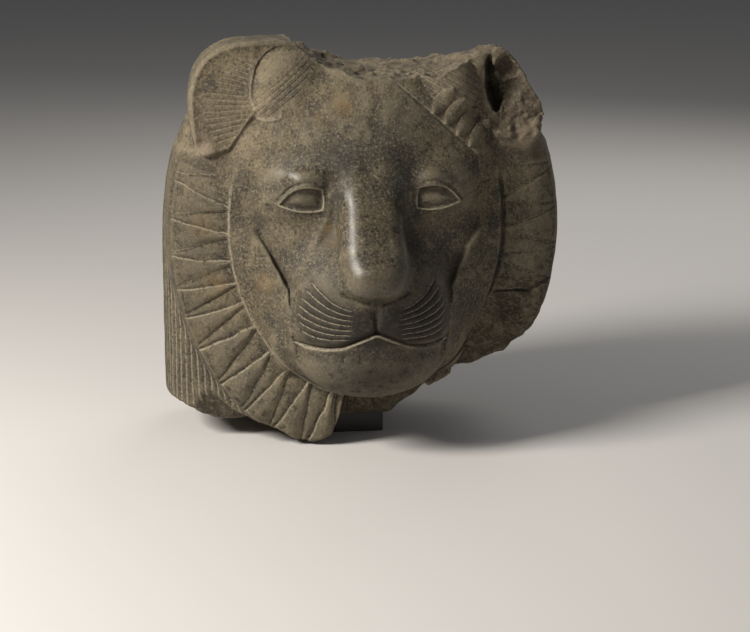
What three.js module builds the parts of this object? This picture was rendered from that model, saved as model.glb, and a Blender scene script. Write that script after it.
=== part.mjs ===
// Head of a lioness goddess in dark stone, broken from a seated figure, on a short metal post.
// Millimetres, +Z up. The face looks along -Y and +X is on the viewer's right.
import * as THREE from 'three';
import { mergeVertices } from 'three/addons/utils/BufferGeometryUtils.js';
import { ImprovedNoise } from 'three/addons/math/ImprovedNoise.js';

// Wig: an arch-topped block, rounded in plan
const WIG_HALF_WIDTH = 251;
const WIG_SPRING_Z = 200;
const WIG_RISE = 290;
const WIG_MIDDLE_Y = 105;
const WIG_FRONT = 112;
const WIG_BACK = 125;
const RIGHT_STRETCH = 0.03;

// Ruff: a collar of pointed locks around the face
const RUFF_Z = 270;
const RUFF_HALF_WIDTH = 248;
const RUFF_HALF_HEIGHT = 300;
const RUFF_Y = 70;
const RUFF_DEPTH = 88;
const RUFF_TOP_Z = 384;
const RUFF_LOW_FORWARD = 22;
const BORDER_Z = 285;
const BORDER_HALF_WIDTH = 171;
const BORDER_HALF_HEIGHT = 218;
const FAN_Z = 280;
const LOCK_RATE = 6.7;
const LOCK_EASE = 0.23;
const LOCK_HEIGHT = 5;
const RUFF_END_ANGLE = 1.93;

// Plain band beside the cheeks: x and z of its sharp inner edge, from the temple to the jaw
const BAND_EDGE = [
  [100, 352], [124, 326], [141, 304], [137, 282], [124, 259], [111, 234], [102, 215],
  [100, 183], [98, 155], [88, 120], [60, 98],
];

// How far forward that edge stands: height, then y
const BAND_EDGE_Y = [
  [98, -66], [155, -70], [200, -69], [224, -62], [259, -47], [282, -34.5], [304, -21], [352, -10],
];
const BESIDE_MUZZLE_DEPTH = 3;

// Mouth line and eye, as x and z on one side
const MOUTH = [[0, 172], [20, 163], [40, 154], [60, 150.5], [80, 150], [99, 153]];
const EYE_UPPER = [[111, 320], [88, 352], [60, 338]];
const EYE_INNER = [[60, 338], [57, 326], [59, 314]];
const EYE_LOWER = [[59, 314], [82, 308], [111, 320]];
const EYE_SUNK = 4.5;
const MOUTH_DEPTH = 7;

// Ears: a flat flaring rim, a round inner swelling, and the filled hollow under the rim
const EAR_RIM_AT = [128, 30, 430];
const EAR_RIM_SIZE = [88, 38, 84];
const EAR_FOOT = [[204, 369, 0.28], [170, 377, 1.45]];
const TEMPLE_AT = [180, 55, 388];
const TEMPLE_SIZE = [44, 46, 36];
const EAR_SWELL_AT = [101, 26, 456];
const EAR_SWELL_SIZE = [45, 60, 55];
const EAR_SWELL_TURN = 0.12;
const EAR_HOLE_AT = [167, -16, 461];
const EAR_HOLE_SIZE = [19, 36, 37];

// Broken edges: heights along x at the top, the front and the back
const TOP_BREAK = [
  [-270, 540], [-104, 540], [-88, 512], [-69, 496], [-50, 484], [-36, 477], [0, 474],
  [60, 472], [84, 473], [103, 482], [122, 490], [139, 498], [160, 503], [175, 500],
  [192, 479], [214, 441], [229, 395], [245, 372], [262, 350],
];
const FRONT_BREAK = [
  [-262, 50], [-246, 50], [-228, 66], [-209, 74], [-167, 44], [-144, 32], [-113, 22],
  [-96, 10], [-66, 4], [-46, 14], [-36, 40], [-31, 64], [-26, 92], [60, 88],
  [78, 78], [114, 94], [161, 96], [188, 106], [216, 136], [234, 169], [244, 195],
  [250, 235], [262, 330],
];
const BACK_BREAK = [
  [-262, 52], [-246, 50], [-235, 46], [-205, 36], [-175, 26], [40, 26], [78, 60],
  [114, 84], [161, 92], [188, 104], [216, 134], [234, 166], [244, 190], [250, 232],
  [262, 330],
];
const CRAG = 34;

// Post under the neck
const POST_LEFT = -90;
const POST_RIGHT = 28;
const POST_FRONT = 35;
const POST_REAR = 150;
const POST_HEIGHT = 26;
const POST_EDGE = 1.5;
const SEAT_GAP = 0.3;
const SEAT_Z = POST_HEIGHT + SEAT_GAP;

// Faceting of the carved surface
const GRID_LOW = new THREE.Vector3(-266, -162, -8);
const GRID_HIGH = new THREE.Vector3(270, 240, 524);
const GRID_CELL = 4.5;
const GRID_BLOCK = 4;
const STONE_FACETS = 9700;
const EVEN_WEIGHT = 0.002;

const STONE = new THREE.MeshStandardMaterial({ color: 0x5b5449, roughness: 0.55, metalness: 0 });
const POST_METAL = new THREE.MeshStandardMaterial({ color: 0x26221e, roughness: 0.5, metalness: 0.6 });

const { clamp, lerp } = THREE.MathUtils;

function ease(low, high, v) {
  const t = clamp((v - low) / (high - low), 0, 1);
  return t * t * (3 - 2 * t);
}

function join(a, b, k) {
  const h = clamp(0.5 + 0.5 * (b - a) / k, 0, 1);
  return lerp(b, a, h) - k * h * (1 - h);
}

function cut(a, b, k) {
  return -join(-a, -b, k);
}

function bell(v, width) {
  return Math.exp(-((v / width) ** 2));
}

function along(table, v) {
  let i = 1;
  while (i < table.length - 1 && table[i][0] < v) i += 1;
  const [x0, y0] = table[i - 1];
  const [x1, y1] = table[i];
  return lerp(y0, y1, clamp((v - x0) / (x1 - x0), 0, 1));
}

function egg(x, y, z, [cx, cy, cz], [rx, ry, rz]) {
  const [u, v, w] = [x - cx, y - cy, z - cz];
  const k0 = Math.hypot(u / rx, v / ry, w / rz);
  const k1 = Math.hypot(u / rx ** 2, v / ry ** 2, w / rz ** 2);
  return k0 * (k0 - 1) / Math.max(k1, 1e-6);
}

// A rounded block between an egg and a box, sharper with a higher power
function boulder(q, radii, power) {
  const s = q.map((v, i) => Math.abs(v / radii[i]));
  const k0 = Math.max(s.reduce((sum, v) => sum + v ** power, 0), 1e-9) ** (1 / power);
  const g = s.reduce((sum, v, i) => sum + (v ** (power - 1) * k0 ** (1 - power) / radii[i]) ** 2, 0);
  return (k0 - 1) / Math.sqrt(Math.max(g, 1e-9));
}

function toLine(u, v, line) {
  let best = Infinity;
  for (let i = 1; i < line.length; i += 1) {
    const [au, av] = line[i - 1];
    const [du, dv] = [line[i][0] - au, line[i][1] - av];
    const t = clamp(((u - au) * du + (v - av) * dv) / (du * du + dv * dv), 0, 1);
    best = Math.min(best, Math.hypot(u - au - t * du, v - av - t * dv));
  }
  return best;
}

function eyeOutline() {
  const arcs = [EYE_UPPER, EYE_INNER, EYE_LOWER].map((arc) => {
    const curve = new THREE.QuadraticBezierCurve(...arc.map(([x, z]) => new THREE.Vector2(x, z)));
    return curve.getPoints(9).slice(0, -1);
  });
  const points = arcs.flat().map((p) => [p.x, p.y]);
  return [...points, points[0]];
}

const EYE_LINE = eyeOutline();

function insideEye(u, v) {
  let inside = false;
  for (let i = 1; i < EYE_LINE.length; i += 1) {
    const [au, av] = EYE_LINE[i - 1];
    const [bu, bv] = EYE_LINE[i];
    if ((av > v) !== (bv > v) && u < (bu - au) * (v - av) / (bv - av) + au) inside = !inside;
  }
  return inside;
}

function eyeRelief(x, z) {
  if (x < 45 || x > 128 || z < 298 || z > 360) return 0;
  const far = toLine(x, z, EYE_LINE) * (insideEye(x, z) ? -1 : 1);
  return bell(far - 2.5, 3.5) - EYE_SUNK * ease(1, -4, far);
}

const GRAIN = new ImprovedNoise();

function crag(x, y, z) {
  const coarse = GRAIN.noise(x / CRAG, y / CRAG, z / CRAG);
  return coarse + 0.5 * GRAIN.noise(2 * x / CRAG + 5, 2 * y / CRAG, 2 * z / CRAG);
}

// Angle from straight down, and distance, about the centre from which the locks fan out
function fan(x, z) {
  return [Math.atan2(x, FAN_Z - z), Math.hypot(x, z - FAN_Z)];
}

// Distance from the fan's centre to an upright ellipse, at an angle
function ellipseReach(angle, middleZ, halfWidth, halfHeight) {
  const [s, c] = [Math.sin(angle), Math.cos(angle)];
  const rise = middleZ - FAN_Z;
  const a = (s / halfWidth) ** 2 + (c / halfHeight) ** 2;
  const b = c * rise / halfHeight ** 2;
  const e = (rise / halfHeight) ** 2 - 1;
  return (-b + Math.sqrt(Math.max(b * b - a * e, 0))) / a;
}

function lockNumber(angle) {
  const sway = 0.1 * Math.sin(5.3 * angle + 0.6) + 0.06 * Math.sin(11 * angle);
  return LOCK_RATE * angle - LOCK_EASE * angle ** 3 + sway;
}

function lockRelief(x, z) {
  const [angle, reach] = fan(x, z);
  const inner = ellipseReach(angle, BORDER_Z, BORDER_HALF_WIDTH, BORDER_HALF_HEIGHT);
  const outer = ellipseReach(angle, RUFF_Z, RUFF_HALF_WIDTH * 0.968, RUFF_HALF_HEIGHT * 0.968);
  const t = (reach - inner) / Math.max(outer - inner, 1);
  const n = lockNumber(angle);
  const off = Math.abs(n - Math.floor(n) - 0.5);
  const half = 0.05 + 0.36 * clamp(t, 0, 1) ** 0.85;
  const on = ease(0.05, -0.05, off - half);
  const roof = 1 - 0.55 * clamp(off / half, 0, 1);
  const fold = 0.42 * (1 - clamp((0.5 - off) / Math.max(0.5 - half, 0.02), 0, 1));
  const turn = Math.abs(angle);
  const ends = ease(RUFF_END_ANGLE + 0.02, RUFF_END_ANGLE - 0.02, turn);
  const reached = ease(-0.01, 0.03, t) * ease(1.05, 1, t) * ends;
  return LOCK_HEIGHT * (x > 0 ? 0.62 : 1) * lerp(fold, roof, on) * reached;
}

function wig(x, y, z) {
  const deep = y - WIG_MIDDLE_Y;
  const q = [x, deep < 0 ? deep * WIG_BACK / WIG_FRONT : deep, Math.max(z - WIG_SPRING_Z, 0)];
  return boulder(q, [WIG_HALF_WIDTH, WIG_BACK, WIG_RISE], 3);
}

function ruff(x, y, z) {
  const rho = Math.hypot(x / RUFF_HALF_WIDTH, (z - RUFF_Z) / RUFF_HALF_HEIGHT);
  const deep = y - RUFF_Y + RUFF_LOW_FORWARD * ease(210, 30, z);
  const body = boulder([rho * RUFF_HALF_WIDTH, deep, 0], [RUFF_HALF_WIDTH, RUFF_DEPTH, 1], 4);
  return cut(body, (z - RUFF_TOP_Z) * 0.9, 6) - lockRelief(x, z);
}

const BAND_FAN = BAND_EDGE.map(([x, z]) => fan(x, z)).sort((a, b) => a[0] - b[0]);

function band(x, y, z) {
  const [angle, reach] = fan(x, z);
  const edge = along(BAND_FAN, angle);
  const border = ellipseReach(angle, BORDER_Z, BORDER_HALF_WIDTH, BORDER_HALF_HEIGHT);
  const wide = Math.max(border - edge, 8);
  const edgeY = along(BAND_EDGE_Y, z);
  const borderY = -17 - 18 * ease(200, 80, z);
  const front = lerp(edgeY, borderY, clamp((reach - edge) / wide, -0.3, 1.3));
  const plate = (front - y) / Math.hypot(1, (borderY - edgeY) / wide);
  const ring = Math.max(cut(cut(plate, edge - reach, 5 + 7 * ease(262, 300, z)), reach - border, 2), y - 60);
  return cut(ring, (z - 372) * 0.8, 40);
}

// Rounded bar in the middle plane, from the brow to the tip of the nose
function bridge(x, y, z) {
  const [topY, topZ, tipY, tipZ] = [10, 390, -104, 234];
  const long = Math.hypot(tipY - topY, tipZ - topZ);
  const [ay, az] = [(tipY - topY) / long, (tipZ - topZ) / long];
  const u = (y - topY) * ay + (z - topZ) * az;
  const w = -(y - topY) * az + (z - topZ) * ay;
  const soft = 26;
  const half = lerp(34, 42, clamp(u / long, 0, 1));
  const d = [Math.abs(u - long / 2) - long / 2 + soft, x - half + soft, Math.abs(w) - 46 + soft];
  return Math.hypot(...d.map((v) => Math.max(v, 0))) + Math.min(Math.max(...d), 0) - soft;
}

function chin(x, y, z) {
  return egg(x, y, z, [0, -58, 130], [92, 70, 54]);
}

// The face on one side; x is the distance from the middle plane
function face(x, y, z) {
  let d = egg(x, y, z, [0, 25, 262], [165, 92, 205]);
  d = join(d, egg(x, y, z, [0, 70, 384], [170, 130, 140]), 40);
  d = join(d, egg(x, y, z, [108, 42, 364], [78, 70, 72]), 36);
  d = join(d, egg(x, y, z, [70, -26, 363], [54, 36, 26]), 22);
  d = cut(d, -egg(x, y, z, [92, -88, 324], [50, 30, 30]), 22);
  d = join(d, egg(x, y, z, [85, -32, 327], [44, 30, 32]), 18);
  d = join(d, egg(x, y, z, [84, -46, 344], [34, 18, 13]), 14);
  d = join(d, boulder([x, y + 42, z - 186], [103, 81, 94], 2.2), 26);
  d = join(d, egg(x, y, z, [98, -18, 158], [30, 34, 62]), 12);
  const beside = bell(toLine(x + 9, z, BAND_EDGE), 6.5) * ease(238, 212, z) * ease(138, 152, z);
  d += BESIDE_MUZZLE_DEPTH * beside * ease(-10, -30, y);
  const nose = join(bridge(x, y, z), boulder([x, y + 102, z - 238], [46, 49, 30], 2.9), 12);
  d = join(d, nose, 10 + 18 * ease(295, 350, z));
  d = join(d, chin(x, y, z), 6);
  const front = ease(-20, -40, y);
  d += front * MOUTH_DEPTH * bell(toLine(x, z, MOUTH), 4.5) * ease(95, 80, x);
  d += front * 3.5 * bell(x, 4 + 5 * ease(180, 212, z)) * ease(166, 174, z) * ease(222, 210, z);
  return d - front * eyeRelief(x, z);
}

// An ear; x grows outwards from the middle plane
function ear(x, y, z) {
  const outline = boulder([x - EAR_RIM_AT[0], 0, z - EAR_RIM_AT[2]], EAR_RIM_SIZE, 2.6);
  const foot = Math.max(...EAR_FOOT.map(([fx, fz, rise]) => fz + rise * (fx - x))) - z;
  const plate = Math.abs(y - EAR_RIM_AT[1]) - EAR_RIM_SIZE[1];
  const rim = cut(cut(outline, foot * 0.8, 6), plate, 12);
  const [p, q] = [x - EAR_SWELL_AT[0], z - EAR_SWELL_AT[2]];
  const [c2, s2] = [Math.cos(EAR_SWELL_TURN), Math.sin(EAR_SWELL_TURN)];
  const swell = boulder([p * c2 + q * s2, y - EAR_SWELL_AT[1], q * c2 - p * s2], EAR_SWELL_SIZE, 2.4);
  return join(rim, swell, 3);
}

// Height of the broken underside; flat where the post carries the neck
function underside(x, y, z) {
  const share = ease(12, 34, y);
  const height = lerp(along(FRONT_BREAK, x), along(BACK_BREAK, x), share);
  const outside = Math.max(POST_LEFT - x, x - POST_RIGHT, POST_FRONT - y, y - POST_REAR);
  const broken = Math.max(height + 5 * crag(x, y, z), SEAT_Z * ease(0, 14, y));
  return lerp(broken, SEAT_Z, ease(34, 16, outside));
}

// Signed distance to the stone, negative inside
function stone(px, y, z) {
  const x = px * (1 - RIGHT_STRETCH * ease(90, 250, px));
  const side = Math.abs(x);
  const rough = crag(x, y, z);
  let d = join(wig(x, y, z), ruff(x, y, z), 4);
  const worn = ease(95, 125, x) * ease(226, 210, z);
  if (worn > 0) d = cut(d, worn * (-14 + 0.42 * (218 - z) + 6 * rough) - 60 * (1 - worn) - y, 4);
  d = join(d, band(side, y, z), 5);
  d = join(d, egg(side, y, z, TEMPLE_AT, TEMPLE_SIZE), 10);
  d = join(d, ear(side, y, z), x < 0 ? 3 : 8);
  const temple = 13 * ease(272, 310, z) * ease(372, 345, z);
  const earRoot = 18 * ease(412, 440, z) * ease(0, -40, x);
  d = join(d, face(side, y, z), 5 + temple + earRoot);
  d = cut(d, -egg(x, y, z, EAR_HOLE_AT, EAR_HOLE_SIZE), 3);
  d = cut(d, (z - along(TOP_BREAK, x) - 4 * rough) * 0.8, 3);
  if (chin(side, y, z) > 6) d = cut(d, (underside(x, y, z) - z) * 0.7, 3);
  return d;
}

// Corner offsets of a grid cell, and the pairs of corners that its edges join
const CORNERS = [0, 1, 2, 3, 4, 5, 6, 7].map((i) => [i & 1, (i >> 1) & 1, i >> 2]);
const CELL_EDGES = CORNERS.flatMap((_, i) => {
  const free = [1, 2, 4].filter((bit) => !(i & bit));
  return free.map((bit) => [i, i | bit]);
});

function slope(p) {
  const e = 0.4;
  const [x, y, z] = [p.x, p.y, p.z];
  return new THREE.Vector3(
    stone(x + e, y, z) - stone(x - e, y, z),
    stone(x, y + e, z) - stone(x, y - e, z),
    stone(x, y, z + e) - stone(x, y, z - e),
  ).divideScalar(2 * e);
}

// Values of the stone's distance on a grid; far from the surface a coarse value stands for a whole block
function sampleGrid() {
  const size = new THREE.Vector3().subVectors(GRID_HIGH, GRID_LOW);
  const count = size.toArray().map((v) => Math.ceil(v / (GRID_CELL * GRID_BLOCK)) * GRID_BLOCK + 1);
  const values = new Float32Array(count[0] * count[1] * count[2]).fill(1);
  const at = (i, j, k) => (k * count[1] + j) * count[0] + i;
  const low = GRID_LOW.toArray();
  const place = (...cell) => cell.map((n, i) => low[i] + n * GRID_CELL);
  const reach = GRID_CELL * GRID_BLOCK * 1.2;
  const half = GRID_BLOCK / 2;
  for (let k = 0; k < count[2]; k += GRID_BLOCK) {
    for (let j = 0; j < count[1]; j += GRID_BLOCK) {
      for (let i = 0; i < count[0]; i += GRID_BLOCK) {
        const coarse = stone(...place(i + half, j + half, k + half));
        for (let c = k; c < Math.min(k + GRID_BLOCK, count[2]); c += 1) {
          for (let b = j; b < Math.min(j + GRID_BLOCK, count[1]); b += 1) {
            for (let a = i; a < Math.min(i + GRID_BLOCK, count[0]); a += 1) {
              values[at(a, b, c)] = Math.abs(coarse) > reach ? coarse : stone(...place(a, b, c));
            }
          }
        }
      }
    }
  }
  return { count, values, at };
}

// Fills the corner nearest the surface wherever a cell joins the stone only across a diagonal
function unknot({ count, values, at }) {
  const cellFaces = [[0, 2, 6, 4], [1, 3, 7, 5], [0, 1, 5, 4], [2, 3, 7, 6], [0, 1, 3, 2], [4, 5, 7, 6]];
  const inOnePiece = (set) => {
    const seen = new Set(set.slice(0, 1));
    seen.forEach((i) => [1, 2, 4].forEach((bit) => { if (set.includes(i ^ bit)) seen.add(i ^ bit); }));
    return seen.size === set.length;
  };
  let changed = true;
  while (changed) {
    changed = false;
    for (let k = 0; k < count[2] - 1; k += 1) {
      for (let j = 0; j < count[1] - 1; j += 1) {
        for (let i = 0; i < count[0] - 1; i += 1) {
          const places = CORNERS.map(([a, b, c]) => at(i + a, j + b, k + c));
          const inside = places.map((place) => values[place] < 0);
          const full = inside.filter(Boolean).length;
          if (full === 0 || full === 8) continue;
          const crossed = cellFaces.some(([a, b, c, d]) => (
            inside[a] === inside[c] && inside[b] === inside[d] && inside[a] !== inside[b]));
          const all = [0, 1, 2, 3, 4, 5, 6, 7];
          const filled = all.filter((n) => inside[n]);
          const empty = all.filter((n) => !inside[n]);
          if (!crossed && inOnePiece(filled) && inOnePiece(empty)) continue;
          empty.sort((a, b) => values[places[a]] - values[places[b]]);
          values[places[empty[0]]] = -0.05;
          changed = true;
        }
      }
    }
  }
}

// Closed net of quads, split into triangles: one corner in each grid cell that the surface passes through
function surfaceNet() {
  const grid = sampleGrid();
  unknot(grid);
  const { count, values, at } = grid;
  const points = [];
  const faces = [];
  const corner = new Map();
  for (let k = 0; k < count[2] - 1; k += 1) {
    for (let j = 0; j < count[1] - 1; j += 1) {
      for (let i = 0; i < count[0] - 1; i += 1) {
        const v = CORNERS.map(([a, b, c]) => values[at(i + a, j + b, k + c)]);
        const inside = v.filter((d) => d < 0).length;
        if (inside === 0 || inside === 8) continue;
        const p = new THREE.Vector3();
        let crossings = 0;
        CELL_EDGES.forEach(([a, b]) => {
          if ((v[a] < 0) === (v[b] < 0)) return;
          const t = v[a] / (v[a] - v[b]);
          p.x += lerp(CORNERS[a][0], CORNERS[b][0], t);
          p.y += lerp(CORNERS[a][1], CORNERS[b][1], t);
          p.z += lerp(CORNERS[a][2], CORNERS[b][2], t);
          crossings += 1;
        });
        p.divideScalar(crossings);
        p.set(p.x + i, p.y + j, p.z + k).multiplyScalar(GRID_CELL).add(GRID_LOW);
        corner.set(at(i, j, k), points.length);
        points.push(p);
      }
    }
  }
  const steps = [[1, 0, 0], [0, 1, 0], [0, 0, 1]];
  for (let k = 1; k < count[2] - 1; k += 1) {
    for (let j = 1; j < count[1] - 1; j += 1) {
      for (let i = 1; i < count[0] - 1; i += 1) {
        steps.forEach((step, axis) => {
          const here = values[at(i, j, k)] < 0;
          if (here === values[at(i + step[0], j + step[1], k + step[2])] < 0) return;
          const u = steps[(axis + 1) % 3];
          const w = steps[(axis + 2) % 3];
          const quad = [[1, 1], [0, 1], [0, 0], [1, 0]].map(([a, b]) => corner.get(
            at(i - a * u[0] - b * w[0], j - a * u[1] - b * w[1], k - a * u[2] - b * w[2])));
          const [a, b, c, d] = here ? quad : quad.reverse();
          faces.push([a, b, c], [a, c, d]);
        });
      }
    }
  }
  return { points, faces };
}

// Moves the net's corners onto the stone
function settle(points) {
  points.forEach((p) => {
    for (let n = 0; n < 2; n += 1) {
      const normal = slope(p);
      const step = stone(p.x, p.y, p.z) / Math.max(normal.lengthSq(), 0.1);
      const most = GRID_CELL / 2 / Math.max(normal.length(), 0.3);
      p.addScaledVector(normal, -clamp(step, -most, most));
    }
  });
}

// Squared distance to a face's plane, as the ten sums of a symmetric form
function planeForm(a, b, c) {
  const normal = new THREE.Vector3().subVectors(b, a).cross(new THREE.Vector3().subVectors(c, a));
  const area = normal.length() / 2;
  normal.normalize();
  const q = [normal.x, normal.y, normal.z, -normal.dot(a)];
  const form = [];
  for (let i = 0; i < 4; i += 1) {
    for (let j = i; j < 4; j += 1) form.push(q[i] * q[j] * area);
  }
  return form;
}

function formAt(q, p) {
  return q[0] * p.x * p.x + q[4] * p.y * p.y + q[7] * p.z * p.z + q[9]
    + 2 * (q[1] * p.x * p.y + q[2] * p.x * p.z + q[5] * p.y * p.z + q[3] * p.x + q[6] * p.y + q[8] * p.z);
}

// Merges the two ends of an edge over and over, where that changes the form least, down to a number of facets
function thinOut({ points, faces }, target) {
  const live = faces.map((face) => [...face]);
  const around = points.map(() => new Set());
  const forms = points.map(() => new Float64Array(10));
  live.forEach((face, f) => {
    const form = planeForm(...face.map((v) => points[v]));
    face.forEach((v) => {
      around[v].add(f);
      form.forEach((value, n) => { forms[v][n] += value; });
    });
  });
  const stamp = new Uint32Array(points.length);
  const heap = new Heap();
  const neighbours = (v) => new Set([...around[v]].flatMap((f) => live[f]).filter((u) => u !== v));
  const offer = (a, b) => {
    const form = forms[a].map((value, n) => value + forms[b][n]);
    const choices = [points[a], points[b], points[a].clone().lerp(points[b], 0.5)];
    const costs = choices.map((p) => formAt(form, p));
    const best = costs.indexOf(Math.min(...costs));
    const cost = costs[best] + EVEN_WEIGHT * points[a].distanceToSquared(points[b]);
    heap.push(cost, [a, b, choices[best], stamp[a], stamp[b]]);
  };
  points.forEach((_, v) => neighbours(v).forEach((u) => { if (v < u) offer(v, u); }));
  let left = live.length;
  while (left > target && heap.size > 0) {
    const [a, b, p, stampA, stampB] = heap.pop();
    if (stamp[a] !== stampA || stamp[b] !== stampB) continue;
    const [nearA, nearB] = [neighbours(a), neighbours(b)];
    const shared = [...nearA].filter((v) => nearB.has(v));
    if (shared.length !== 2 || nearA.size + nearB.size > 18) continue;
    const kept = [...around[a], ...around[b]].filter((f) => !(live[f].includes(a) && live[f].includes(b)));
    const flips = (f) => {
      const moved = live[f].findIndex((v) => v === a || v === b);
      return turnsOver(live[f].map((v) => points[v]), moved, p);
    };
    if (kept.some(flips)) continue;
    [...around[b]].forEach((f) => {
      if (live[f].includes(a)) {
        live[f].forEach((v) => around[v].delete(f));
        live[f] = null;
        left -= 1;
        return;
      }
      live[f][live[f].indexOf(b)] = a;
      around[a].add(f);
    });
    around[b].clear();
    points[a] = p.clone();
    forms[b].forEach((value, n) => { forms[a][n] += value; });
    stamp[b] += 1;
    stamp[a] += 1;
    neighbours(a).forEach((v) => offer(a, v));
  }
  return { points, faces: live.filter((face) => face !== null) };
}

// Whether moving one corner of a face would turn the face over or leave it a sliver
function turnsOver(corners, place, p) {
  const before = new THREE.Triangle(...corners).getNormal(new THREE.Vector3());
  const moved = corners.map((v, i) => (i === place ? p : v));
  const triangle = new THREE.Triangle(...moved);
  const after = triangle.getNormal(new THREE.Vector3());
  const longest = Math.max(...moved.map((v, i) => v.distanceToSquared(moved[(i + 1) % 3])));
  return before.dot(after) < 0.3 || triangle.getArea() < 0.04 * longest;
}

// Smallest cost first
class Heap {
  constructor() {
    this.items = [];
  }

  get size() {
    return this.items.length;
  }

  push(cost, value) {
    const { items } = this;
    let i = items.push({ cost, value }) - 1;
    while (i > 0 && items[(i - 1) >> 1].cost > items[i].cost) {
      const up = (i - 1) >> 1;
      [items[i], items[up]] = [items[up], items[i]];
      i = up;
    }
  }

  pop() {
    const { items } = this;
    const first = items[0];
    const last = items.pop();
    if (items.length > 0) {
      items[0] = last;
      let i = 0;
      for (;;) {
        const children = [2 * i + 1, 2 * i + 2].filter((c) => c < items.length);
        if (children.length === 0) break;
        const [left, right] = children;
        const least = right !== undefined && items[right].cost < items[left].cost ? right : left;
        if (items[least].cost >= items[i].cost) break;
        [items[i], items[least]] = [items[least], items[i]];
        i = least;
      }
    }
    return first.value;
  }
}

function stoneGeometry() {
  const net = surfaceNet();
  settle(net.points);
  const { points, faces } = thinOut(net, STONE_FACETS);
  const used = new Map();
  faces.flat().forEach((v) => { if (!used.has(v)) used.set(v, used.size); });
  const geometry = new THREE.BufferGeometry().setFromPoints([...used.keys()].map((v) => points[v]));
  geometry.setIndex(faces.flat().map((v) => used.get(v)));
  geometry.computeVertexNormals();
  return geometry;
}

function postGeometry() {
  const outline = new THREE.Shape();
  const [wide, deep] = [POST_RIGHT - POST_LEFT - 2 * POST_EDGE, POST_REAR - POST_FRONT - 2 * POST_EDGE];
  outline.moveTo(0, 0).lineTo(wide, 0).lineTo(wide, deep).lineTo(0, deep).lineTo(0, 0);
  const bevel = { bevelEnabled: true, bevelThickness: POST_EDGE, bevelSize: POST_EDGE, bevelSegments: 2 };
  const geometry = new THREE.ExtrudeGeometry(outline, { depth: POST_HEIGHT - 2 * POST_EDGE, ...bevel });
  geometry.translate(POST_LEFT + POST_EDGE, POST_FRONT + POST_EDGE, POST_EDGE);
  geometry.deleteAttribute('uv');
  geometry.deleteAttribute('normal');
  const welded = mergeVertices(geometry, 1e-4);
  welded.computeVertexNormals();
  return welded;
}

const head = new THREE.Mesh(stoneGeometry(), STONE);
head.name = 'lioness_head';
const post = new THREE.Mesh(postGeometry(), POST_METAL);
post.name = 'mount_post';

const group = new THREE.Group();
group.add(head, post);

// Origin under the middle of the whole, on the floor
const box = new THREE.Box3().setFromObject(group);
const middle = box.getCenter(new THREE.Vector3());
[head, post].forEach((mesh) => mesh.geometry.translate(-middle.x, -middle.y, -box.min.z));

export default group;
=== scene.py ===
import math

import bpy
import numpy as np
from mathutils import Matrix, Vector


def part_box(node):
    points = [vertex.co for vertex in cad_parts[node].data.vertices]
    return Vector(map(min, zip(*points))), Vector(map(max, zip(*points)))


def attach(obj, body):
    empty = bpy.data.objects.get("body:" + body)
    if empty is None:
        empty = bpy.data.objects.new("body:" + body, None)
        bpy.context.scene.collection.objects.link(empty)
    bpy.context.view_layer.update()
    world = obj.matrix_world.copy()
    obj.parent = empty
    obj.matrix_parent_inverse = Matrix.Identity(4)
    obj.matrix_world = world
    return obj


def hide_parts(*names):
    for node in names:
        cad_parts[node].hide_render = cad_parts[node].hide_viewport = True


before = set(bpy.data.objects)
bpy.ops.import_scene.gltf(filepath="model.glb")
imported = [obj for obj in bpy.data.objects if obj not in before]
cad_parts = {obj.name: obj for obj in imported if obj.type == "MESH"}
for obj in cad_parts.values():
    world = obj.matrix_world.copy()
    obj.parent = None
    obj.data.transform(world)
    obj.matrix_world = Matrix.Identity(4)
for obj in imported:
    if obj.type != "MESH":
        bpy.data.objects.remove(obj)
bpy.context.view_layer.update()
post_low, post_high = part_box("mount_post")

# Sizes of the head in millimetres, X from the middle of the face, +Z up from the floor, the face towards -Y
POST_CORNER = (-90.0, 35.0, 0.0)
POST_SPAN = (118.0, 115.0)
SHIFT = np.array(post_low) - np.array(POST_CORNER) / 1000.0
SEAT_Z = 26.3

WIG_HALF, WIG_SIDE_Z, WIG_RISE, WIG_Y, WIG_FRONT, WIG_BACK = 251.0, 200.0, 290.0, 105.0, 112.0, 125.0
STRAND = 9.0

RUFF_Z, RUFF_HALF, RUFF_RISE, RUFF_Y, RUFF_DEEP = 270.0, 248.0, 300.0, 70.0, 88.0
RUFF_END_Z = 384.0
RUFF_END_ANGLE = 1.93
FAN_Z = 280.0
BORDER_Z, BORDER_HALF, BORDER_RISE = 285.0, 171.0, 218.0
LOCK_RATE, LOCK_EASE, LOCK_HEIGHT = 6.7, 0.23, 4.4

# The cheek's edge, X and Z, and how far forward it lies, Z and Y
BAND_EDGE = np.array([(100.0, 352.0), (124.0, 326.0), (141.0, 304.0), (137.0, 282.0), (124.0, 259.0),
                      (111.0, 234.0), (102.0, 215.0), (100.0, 183.0), (98.0, 155.0), (88.0, 120.0),
                      (60.0, 98.0)])
EDGE_Y = np.array([(98.0, -66.0), (155.0, -70.0), (200.0, -69.0), (224.0, -60.5), (234.0, -54.0),
                   (259.0, -44.0), (282.0, -33.0), (304.0, -21.0), (352.0, -10.0)])

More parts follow.
